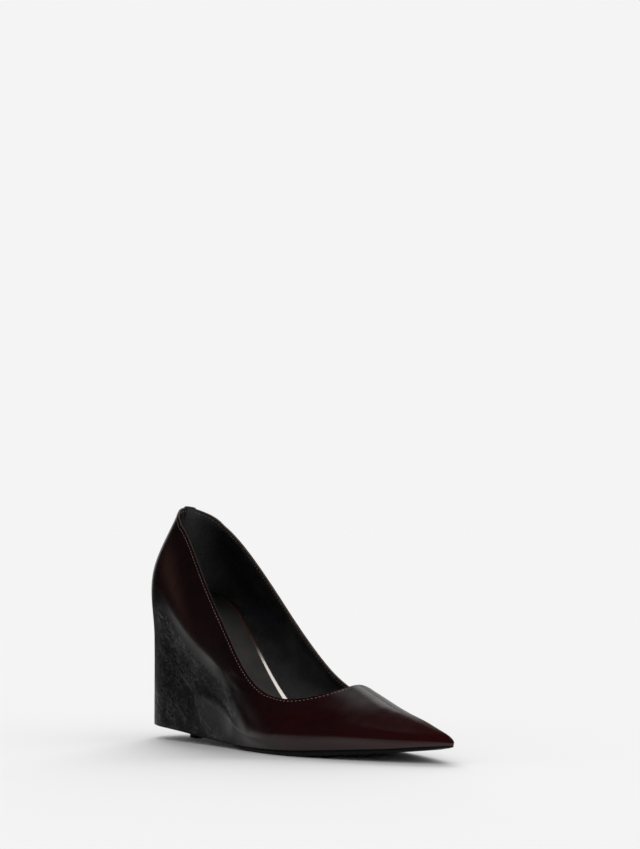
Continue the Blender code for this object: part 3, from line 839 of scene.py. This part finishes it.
# A point over the footbed: t from -1 at the outer wall to 1 at the inner wall. From the start of the sock's
# band it climbs: slope times way, plus a fifth power that makes up the rest of the height at the wall.
def bedPoint(run, t):
    base = bedTop(run)[:, None]
    full = archHeight(run)[:, None]
    outer = inside(run, base, -1)
    inner = inside(run, base + full, 1)
    point = outer + (inner - outer) * ((t + 1) / 2)[..., None]
    start = (sockEdge(run) - sockBand(run))[:, None]
    wide = np.linalg.norm(inner[..., :2] - outer[..., :2], axis=-1) * (1 - start) / 2
    x = np.clip((t - start) / (1 - start), 0, 1)
    ramp = np.minimum(archSlope(run)[:, None] * wide, full * arch["rampMost"])
    point[..., 2] = base + ramp * x + (full - ramp) * x ** arch["power"]
    return point


# Closed loops round a board or sheet, joined along the run, with both ends capped.
def makeLoops(name, loops, materials, kinds=None):
    columns, rows = loops.shape[:2]
    faces = gridQuads(columns, rows, False, True).tolist()
    faces += [list(range(rows)), [(columns - 1) * rows + k for k in reversed(range(rows))]]
    return makePiece(name, loops, faces, materials, kinds, turn=True)


footbed = {"thick": 0.0025, "rear": backRun + 1e-4, "front": tipRun - 0.0095, "columns": 120, "across": 25}


# The footbed board: straight across from wall to wall, its top and underside one thickness apart.
def makeFootbed():
    run = np.linspace(footbed["rear"], footbed["front"], footbed["columns"])
    share = np.linspace(0, 1, footbed["across"])[None, :, None]
    faces = []
    for drop in (0.0, footbed["thick"]):
        level = (bedTop(run) - drop)[:, None]
        outer, inner = (inside(run, level, side) for side in (-1, 1))
        faces.append(outer + (inner - outer) * share)
    loops = np.concatenate([faces[0], faces[1][:, ::-1]], axis=1)
    piece = makeLoops("footbed", loops, [looks["lining"]])
    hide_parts("insole")


makeFootbed()


# The arch lining's sheet: rows across on the climb, spread by a sine so that they close up near the wall, and
# two more into the wall.
def makeArch():
    run = np.linspace(arch["rear"], arch["front"], arch["columns"])
    start = (sockEdge(run) - sockBand(run) - arch["under"])[:, None]
    t = start + (1 - start) * np.sin(np.linspace(0, math.pi / 2, arch["across"]))
    sheet = bedPoint(run, t)
    sheet[..., 2] += arch["lift"]
    sheet[..., 1] += last["gap"] * smooth(t, start, 1.0)
    top = (bedTop(run) + archHeight(run) + arch["lift"])[:, None]
    for rise, out in arch["tuckedRows"]:
        end = inside(run, top + rise, 1) + np.array([0, last["gap"] + out, 0])
        sheet = np.concatenate([sheet, end], axis=1)
    faces = gridQuads(*sheet.shape[:2])
    piece = makePiece("arch_lining", sheet, faces, [looks["lining"]])
    thicken(piece, arch["thick"])


makeArch()


# The sock lies on the footbed from the outer wall to its own raw inner edge, which is rounded over.
def makeSock():
    run = np.linspace(sock["rear"], sock["front"], sock["columns"])
    edge = sockEdge(run)
    spread = np.linspace(0, 1, sock["topRows"])[:-1]
    band = sockBand(run)[:, None]
    start = edge[:, None] - band
    t = sock["outer"] + (start - sock["outer"]) * spread
    t = np.concatenate([t, start + band * np.linspace(0, 1, sock["bandRows"])], axis=1)
    low = bedPoint(run, t) + np.array([0, 0, arch["lift"] + sock["lift"]])
    top = low + np.array([0, 0, sock["thick"]])
    angle = np.linspace(math.pi / 2, -math.pi / 2, sock["roundSteps"])[1:-1]
    middle = (low[:, -1:] + top[:, -1:]) / 2
    turned = np.stack([0 * angle, sock["round"] * np.cos(angle), sock["thick"] / 2 * np.sin(angle)], -1)
    loops = np.concatenate([top, middle + turned, low[:, ::-1]], axis=1)
    columns, rows = loops.shape[:2]
    row = np.tile(np.arange(rows), columns - 1)
    inEdge = (row >= sock["topRows"] - 1) & (row < sock["topRows"] + sock["bandRows"] + len(angle))
    kinds = np.concatenate([inEdge.astype(int), [1, 1]])
    makeLoops("sock", loops, [looks["sock"], looks["waxed"]], kinds)


makeSock()

sole = {
    "back": 0.072, "front": tipRun - 0.0030, "thick": 0.0030, "endThick": 0.0012, "feather": 0.016,
    "round": 0.0024, "least": 0.4, "edge": 0.43, "columns": 150, "across": 21, "roundSteps": 7,
    "thin": ((0.130, 0.0030), (0.167, 0.0024), (0.190, 0.0019), (toeAxis, 0.0012), (tipRun, 0.0009)),
    "tuck": 0.0004, "inset": 0.00015,   # how far it reaches up into the wall, and in from the wall's face
}


# The forepart sole: flat tread, a quarter ellipse up to the upright edge, flat top under the hem.
def makeSole():
    run = np.linspace(sole["back"], sole["front"], sole["columns"])
    top = form["hemZ"](run) - last["gap"]
    feather = np.clip((run - sole["back"]) / sole["feather"], 0, 1)
    thick = sole["endThick"] + (sole["thick"] - sole["endThick"]) * np.sin(feather * math.pi / 2)
    thick = np.minimum(thick, np.interp(run, *np.array(sole["thin"]).T))
    tread = np.maximum(top - thick, 0)
    edge = top - (top - tread) * sole["edge"]
    top = top + last["gap"] + sole["tuck"]
    edgeOut = form["half"](run) * form["hemIn"](run) - sole["inset"]
    treadOut = np.maximum(edgeOut - sole["round"], edgeOut * sole["least"])
    turn = np.linspace(0, math.pi / 2, sole["roundSteps"])
    out = treadOut[:, None] + (edgeOut - treadOut)[:, None] * np.sin(turn)
    height = tread[:, None] + (edge - tread)[:, None] * (1 - np.cos(turn))
    out = np.concatenate([out, edgeOut[:, None]], axis=1)
    height = np.concatenate([height, top[:, None]], axis=1)
    sides = [place(run[:, None], out, height, side) for side in (-1, 1)]
    share = np.linspace(0, 1, sole["across"])[None, 1:-1, None]
    over = sides[0][:, -1:] + (sides[1][:, -1:] - sides[0][:, -1:]) * share
    below = sides[1][:, :1] + (sides[0][:, :1] - sides[1][:, :1]) * share
    loops = np.concatenate([sides[0], over, sides[1][:, ::-1], below], axis=1)
    piece = makeLoops("forepart_sole", loops, [looks["rubber"]])
    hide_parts("outsole")


makeSole()

heelTip = {
    "place": (-0.0010, -0.0010), "radius": 0.0042, "bevel": 0.0006, "around": 64, "bevelSteps": 6,
    "groove": 0.00025, "grooveHeights": (0.0046, 0.0049, 0.0052), "reach": 0.0015,   # the last above the hem
}


# The heel tip: a profile of radius and height turned round its axis, with a fine line where the lift starts.
def makeHeelTip():
    top = float(form["hemZ"](heelTip["radius"])) + heelTip["reach"] - last["gap"]
    r, b, g = heelTip["radius"], heelTip["bevel"], heelTip["groove"]
    turn = np.linspace(0, math.pi / 2, heelTip["bevelSteps"])
    radius = np.concatenate([[0, r / 2], r - b + b * np.sin(turn), [r, r - g, r, r, r - b, 0]])
    rest = [*heelTip["grooveHeights"], top - b, top, top]
    height = np.concatenate([[0, 0], b - b * np.cos(turn), rest])
    angle = np.linspace(0, 2 * math.pi, heelTip["around"], endpoint=False)[:, None]
    x = heelTip["place"][0] + radius * np.cos(angle)
    y = heelTip["place"][1] + radius * np.sin(angle)
    points = np.stack(np.broadcast_arrays(x, y, height), -1)
    faces = gridQuads(heelTip["around"], len(radius), True)
    piece = makePiece("heel_lift", points, faces, [looks["rubber"]])
    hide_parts("heel_tip")


makeHeelTip()


# The back tab: a strip that runs up the outside, over the topline in a squared fold, and down the lining.
def makeTab():
    across = tab["shift"] + np.linspace(-tab["run"], tab["run"], tab["across"])
    strips = []
    for side, reach in ((-1, -across[across < 0]), (1, across[across >= 0])):
        run = backRun + reach[:, None]
        outside = skin(run, np.linspace(3 - tab["outside"], 3, tab["wallRows"]), side, -last["gap"])
        down = np.linspace(0, tab["inside"], tab["wallRows"])
        flat = skin(run, 3 - down, side)
        away = np.linalg.norm(flat - flat[:, :1], axis=-1)
        within = skin(run, 3 - down, side, last["wall"] * wallShare(away) + tab["proud"])
        middle = (outside[:, -1:] + within[:, :1]) / 2
        outward = outside[:, -1:] - middle
        upward = skin(run, 3, side) - skin(run, 3 - tab["upStep"], side)
        middleWay = ((reach * side - tab["shift"]) / tab["run"])[:, None, None]
        rise = tab["rise"] * (1 - tab["riseFall"] * middleWay**4)
        upward = unit(upward) * rise
        angle = np.linspace(0, math.pi, tab["foldRows"] + 2)[1:-1, None]
        level = np.sign(np.cos(angle)) * np.abs(np.cos(angle)) ** tab["fold"]
        fold = middle + outward * level + upward * np.sin(angle) ** tab["fold"]
        strips.append(np.concatenate([outside, fold, within], axis=1))
    grid = np.concatenate(strips)
    columns, rows = grid.shape[:2]
    faces = gridQuads(columns, rows)
    lined = np.tile(np.arange(rows - 1) >= tab["wallRows"] + tab["foldRows"], columns - 1)
    piece = makePiece("folded_tab", grid, faces, [looks["tab"], looks["lining"]], lined)
    thicken(piece, tab["thick"])
    edge = piece.modifiers.new("softEdge", "BEVEL")
    edge.width = tab["softEdge"]
    edge.segments = 2
    edge.limit_method = "ANGLE"
    edge.angle_limit = tab["softAngle"]
    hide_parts("back_tab")


makeTab()

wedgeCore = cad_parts["wedge_heel"]
wedgeCore.data.materials.clear()
wedgeCore.data.materials.append(looks["core"])
print("wedge core dressed")

# Stage: pale floor under a dome and a wide low sun from behind, its far part painted dark in reflections
# only, and three panels that only show in the gloss
stage = {
    "pale": 0.905, "floorSize": 6.0, "floorPale": 0.86, "dark": 0.010,
    # painted reflection: beyond floorFar the floor is near black in glossy rays only, a dark surround for the
    # leather's reflections
    "floorNear": 0.42, "floorFar": 0.75, "floorDarkInGloss": 0.03, "floorPoints": 9,
    "sunShare": 0.40, "sunTravel": (0.72, -0.62, -0.45), "sunAngle": math.radians(44),
    "panels": (
        {"name": "farPanel", "size": (1.6, 1.06), "power": 2.3, "spread": math.pi,
         "place": (-0.963, 0.872, 0.50), "aim": (0.0, 0.0, 0.03)},
        {"name": "highPanel", "size": (0.22, 0.56), "power": 0.52, "spread": math.pi,
         "place": (-0.47, 0.777, 1.07), "aim": (0.05, 0.0, 0.03)},
        {"name": "nearPanel", "size": (0.12, 0.16), "power": 0.0042, "spread": math.radians(42),
         "place": (-0.030, 0.070, 0.275), "aim": (-0.020, 0.008, 0.030)},
    ),
}


# The floor is pale to the camera and to light, and also in glossy rays near the shoe. Further off it is
# painted near black in glossy rays only, a painted dark surround in the leather's reflections.
def makeFloor():
    look = Look(bpy.data.materials.new("paleFloor"))
    spot = look.object()
    away = look.add("VectorMath", {"operation": "LENGTH"}, {0: spot}, output="Value")
    glossy = look.add("LightPath", output="Is Glossy Ray")
    near = look.add("BsdfDiffuse", {}, {"Color": (stage["floorPale"],) * 3})
    darkInGloss = look.add("BsdfDiffuse", {}, {"Color": (stage["floorDarkInGloss"],) * 3})
    reach = look.step(away, stage["floorNear"], stage["floorFar"])
    mixed = look.add("MixShader", {}, {0: glossy * reach, 1: near, 2: darkInGloss})
    look.fill(look.tree.nodes["Material Output"], {"Surface": mixed})
    count = stage["floorPoints"]
    side = np.linspace(-stage["floorSize"], stage["floorSize"], count)
    x, y = np.meshgrid(side, side, indexing="ij")
    mesh = bpy.data.meshes.new("floor")
    points = np.stack([x, y, 0 * x], -1).reshape(-1, 3)
    mesh.from_pydata(points.tolist(), [], gridQuads(count, count).tolist())
    mesh.materials.append(look.owner)
    floor = addObject("floor", mesh)


def makeWorld():
    look = Look(bpy.data.worlds.new("paleRoom"), "Background")
    glossy, seen = (look.add("LightPath", output=name) for name in ("Is Glossy Ray", "Is Camera Ray"))
    dome = stage["pale"] / stage["floorPale"] * (1 - stage["sunShare"])
    light = dome * (1 - glossy) + stage["dark"] * glossy
    light = light * (1 - seen) + stage["pale"] * seen
    bpy.context.scene.world = look.finish({"Color": (1, 1, 1), "Strength": light})


def makeLights():
    for panel in stage["panels"]:
        data = bpy.data.lights.new(panel["name"], "AREA")
        data.shape = "RECTANGLE"
        data.size, data.size_y = panel["size"]
        data.energy = panel["power"]
        data.spread = panel["spread"]
        lamp = addObject(panel["name"], data)
        aim = Vector(panel["aim"]) - Vector(panel["place"])
        turn = aim.to_track_quat("-Z", "Y").to_matrix().to_4x4()
        lamp.matrix_world = Matrix.Translation(panel["place"]) @ turn
        lamp.visible_diffuse = False
        lamp.visible_camera = False
    travel = Vector(stage["sunTravel"]).normalized()
    data = bpy.data.lights.new("wideSun", "SUN")
    data.angle = stage["sunAngle"]
    data.energy = stage["sunShare"] * stage["pale"] * math.pi / stage["floorPale"] / -travel.z
    sun = addObject("wideSun", data)
    sun.matrix_world = travel.to_track_quat("-Z", "Y").to_matrix().to_4x4()
    sun.visible_glossy = False


camera = {
    "place": (1.3101, -1.1886, 0.1528), "heading": math.radians(47.483), "pitch": math.radians(1.1104),
    "roll": math.radians(0.8736), "lens": 129.95, "sensor": 36.0,
}


def makeCamera():
    data = bpy.data.cameras.new("camera")
    data.lens = camera["lens"]
    data.sensor_width = camera["sensor"]
    view = addObject("camera", data)
    turn = Matrix.Rotation(camera["heading"], 4, "Z")
    turn = turn @ Matrix.Rotation(math.pi / 2 + camera["pitch"], 4, "X")
    turn = turn @ Matrix.Rotation(camera["roll"], 4, "Z")
    view.matrix_world = Matrix.Translation(camera["place"]) @ turn
    bpy.context.scene.camera = view


makeFloor()
makeWorld()
makeLights()
makeCamera()
bpy.context.scene.view_settings.view_transform = "Standard"
print("stage set")
